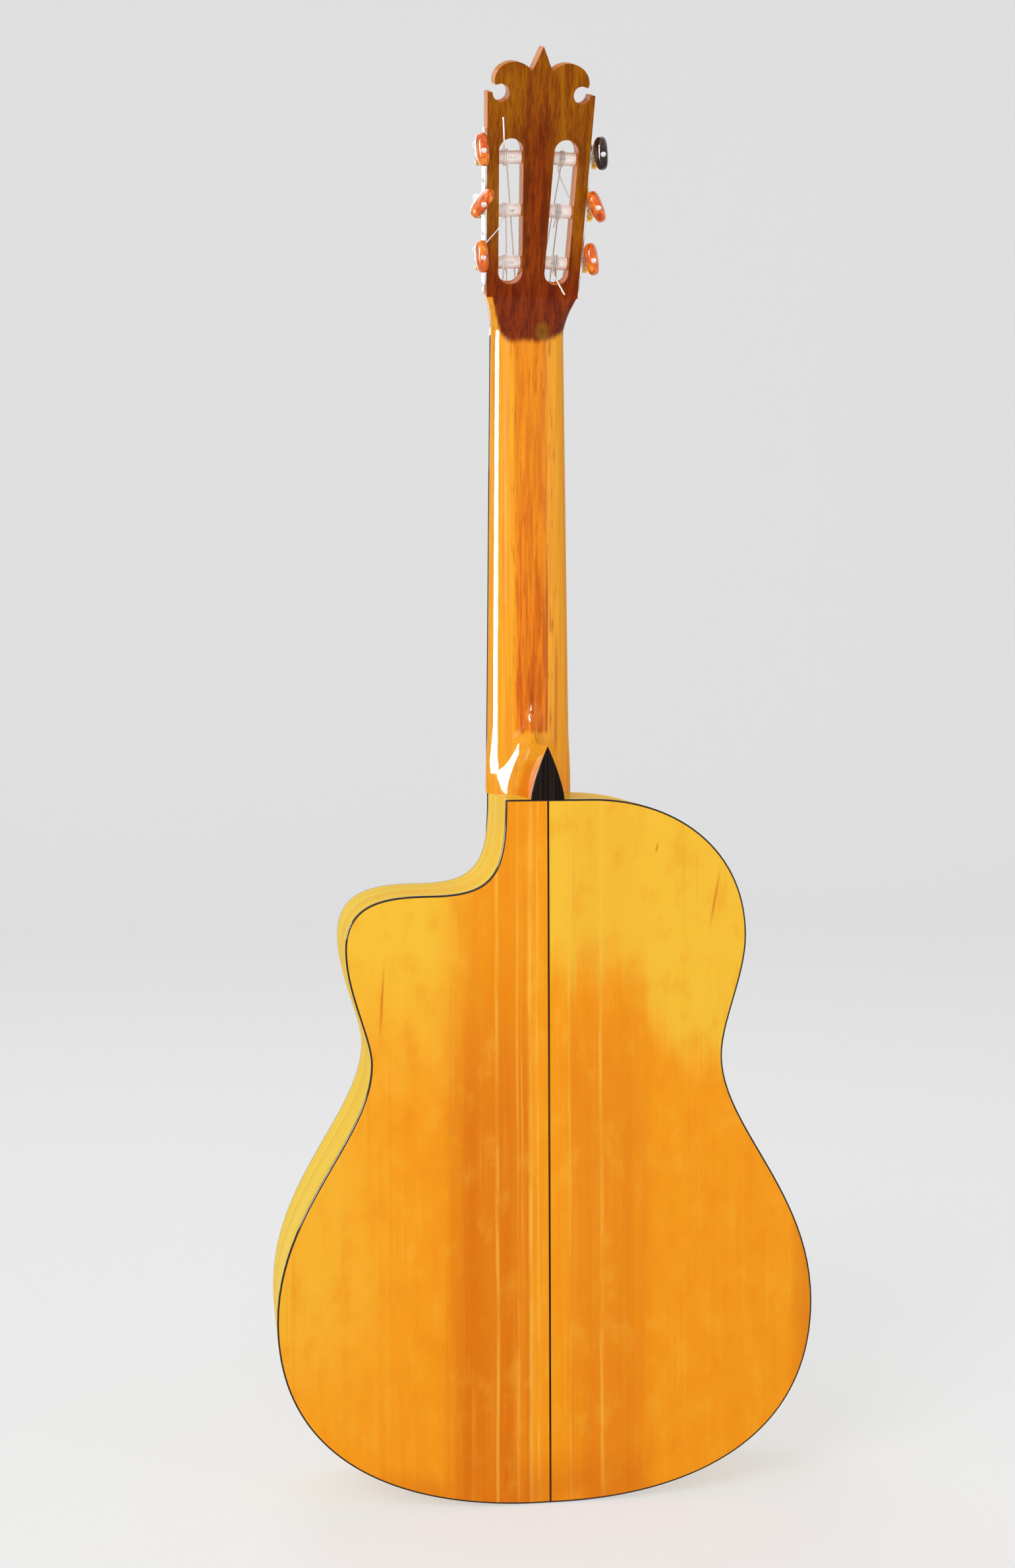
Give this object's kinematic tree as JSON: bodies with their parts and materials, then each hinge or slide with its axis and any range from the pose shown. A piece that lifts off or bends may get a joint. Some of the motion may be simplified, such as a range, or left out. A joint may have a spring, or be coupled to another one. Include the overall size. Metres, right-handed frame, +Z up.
{
  "type": "flamenco guitar",
  "caption": "Cutaway flamenco guitar with a shallow wooden body, a carved slotted head and worm-driven tuners that wind nylon strings onto rollers.",
  "frame": {"origin": "On the centre line in the soundboard's outer plane, where the nut meets the end of the fingerboard.", "axes": "+Z runs up the neck to the head, -Y is the way the soundboard faces and +X is the treble side, which has the cutaway."},
  "size_m": [0.3688, 0.1069, 0.9902],
  "materials": {
    "spruce": "straight-grained spruce under clear gloss lacquer",
    "brace_spruce": "bare planed spruce",
    "inlay": "dark and light inlaid wood rings under lacquer",
    "acetate": "thin clear tap plate",
    "back_cypress": "golden orange figured wood under high gloss lacquer",
    "rib_cypress": "pale golden wood under high gloss lacquer",
    "cedar": "reddish brown wood under gloss lacquer",
    "head_cedar": "dark brown stained wood under lacquer",
    "rosewood": "dark oiled rosewood",
    "ebony": "near-black dyed wood under lacquer",
    "bone": "polished bone",
    "plated_steel": "bright plated side plates",
    "roller_plastic": "white plastic sleeves",
    "gear_brass": "bare cut brass",
    "button_plastic": "translucent amber plastic on a plated steel worm shaft",
    "nylon": "clear nylon",
    "wound_string": "silvered wire wound on a core"
  },
  "bodies": {
    "guitar": {"soundboard": "spruce", "rosette": "inlay", "tap_plate": "acetate", "back_bass": "back_cypress", "back_treble": "back_cypress", "back_strip": "ebony", "rib_bass": "rib_cypress", "rib_treble": "rib_cypress", "top_binding": "ebony", "back_binding": "ebony", "tail_graft": "ebony", "tail_block": "cedar", "neck_foot": "cedar", "top_lining": "cedar", "back_lining": "cedar", "harmonic_bar_upper": "brace_spruce", "harmonic_bar_lower": "brace_spruce", "fan_brace_1": "brace_spruce", "fan_brace_2": "brace_spruce", "fan_brace_3": "brace_spruce", "fan_brace_4": "brace_spruce", "fan_brace_5": "brace_spruce", "back_brace_1": "brace_spruce", "back_brace_2": "brace_spruce", "back_brace_3": "brace_spruce", "bridge": "rosewood", "saddle": "bone", "neck": "cedar", "headstock": "head_cedar", "head_veneer": "rosewood", "heel_cap": "ebony", "fingerboard": "ebony", "nut": "bone", "tuner_plate_bass": "plated_steel", "tuner_plate_treble": "plated_steel", "string_1": "nylon", "string_2": "nylon", "string_3": "nylon", "string_4": "wound_string", "string_5": "wound_string", "string_6": "wound_string"},
    "treble_low_roller": {"roller_1": "roller_plastic", "gear_1": "gear_brass"},
    "treble_middle_roller": {"roller_2": "roller_plastic", "gear_2": "gear_brass"},
    "treble_high_roller": {"roller_3": "roller_plastic", "gear_3": "gear_brass"},
    "bass_low_roller": {"roller_4": "roller_plastic", "gear_4": "gear_brass"},
    "bass_middle_roller": {"roller_5": "roller_plastic", "gear_5": "gear_brass"},
    "bass_high_roller": {"roller_6": "roller_plastic", "gear_6": "gear_brass"},
    "treble_low_button": {"button_1": "button_plastic"},
    "treble_middle_button": {"button_2": "button_plastic"},
    "treble_high_button": {"button_3": "button_plastic"},
    "bass_low_button": {"button_4": "button_plastic"},
    "bass_middle_button": {"button_5": "button_plastic"},
    "bass_high_button": {"button_6": "button_plastic"}
  },
  "joints": [
    {"name": "treble_low_roller_spin", "type": "hinge", "parent": "guitar", "child": "treble_low_roller", "pos_m": [0.03277, 0.02394, 0.0456], "axis": [0.9994, -0.0113, -0.0328], "continuous": true},
    {"name": "treble_middle_roller_spin", "type": "hinge", "parent": "guitar", "child": "treble_middle_roller", "pos_m": [0.03399, 0.03537, 0.07879], "axis": [0.9994, -0.0113, -0.0328], "continuous": true},
    {"name": "treble_high_roller_spin", "type": "hinge", "parent": "guitar", "child": "treble_high_roller", "pos_m": [0.03521, 0.0468, 0.11198], "axis": [0.9994, -0.0113, -0.0328], "continuous": true},
    {"name": "bass_low_roller_spin", "type": "hinge", "parent": "guitar", "child": "bass_low_roller", "pos_m": [-0.03277, 0.02394, 0.0456], "axis": [-0.9994, -0.0113, -0.0328], "continuous": true},
    {"name": "bass_middle_roller_spin", "type": "hinge", "parent": "guitar", "child": "bass_middle_roller", "pos_m": [-0.03399, 0.03537, 0.07879], "axis": [-0.9994, -0.0113, -0.0328], "continuous": true},
    {"name": "bass_high_roller_spin", "type": "hinge", "parent": "guitar", "child": "bass_high_roller", "pos_m": [-0.03521, 0.0468, 0.11198], "axis": [-0.9994, -0.0113, -0.0328], "continuous": true},
    {"name": "treble_low_button_turn", "type": "hinge", "parent": "guitar", "child": "treble_low_button", "pos_m": [0.03802, 0.02626, 0.05234], "axis": [0, 0.9455, -0.3256], "continuous": true},
    {"name": "treble_middle_button_turn", "type": "hinge", "parent": "guitar", "child": "treble_middle_button", "pos_m": [0.03924, 0.03769, 0.08552], "axis": [0, 0.9455, -0.3256], "continuous": true},
    {"name": "treble_high_button_turn", "type": "hinge", "parent": "guitar", "child": "treble_high_button", "pos_m": [0.04046, 0.04912, 0.11871], "axis": [0, 0.9455, -0.3256], "continuous": true},
    {"name": "bass_low_button_turn", "type": "hinge", "parent": "guitar", "child": "bass_low_button", "pos_m": [-0.03802, 0.02626, 0.05234], "axis": [0, 0.9455, -0.3256], "continuous": true},
    {"name": "bass_middle_button_turn", "type": "hinge", "parent": "guitar", "child": "bass_middle_button", "pos_m": [-0.03924, 0.03769, 0.08552], "axis": [0, 0.9455, -0.3256], "continuous": true},
    {"name": "bass_high_button_turn", "type": "hinge", "parent": "guitar", "child": "bass_high_button", "pos_m": [-0.04046, 0.04912, 0.11871], "axis": [0, 0.9455, -0.3256], "continuous": true}
  ],
  "couplings": [
    {"joint": "treble_low_roller_spin", "follows": "treble_low_button_turn", "ratio": 0.071429},
    {"joint": "treble_middle_roller_spin", "follows": "treble_middle_button_turn", "ratio": 0.071429},
    {"joint": "treble_high_roller_spin", "follows": "treble_high_button_turn", "ratio": 0.071429},
    {"joint": "bass_low_roller_spin", "follows": "bass_low_button_turn", "ratio": -0.071429},
    {"joint": "bass_middle_roller_spin", "follows": "bass_middle_button_turn", "ratio": -0.071429},
    {"joint": "bass_high_roller_spin", "follows": "bass_high_button_turn", "ratio": -0.071429}
  ]
}
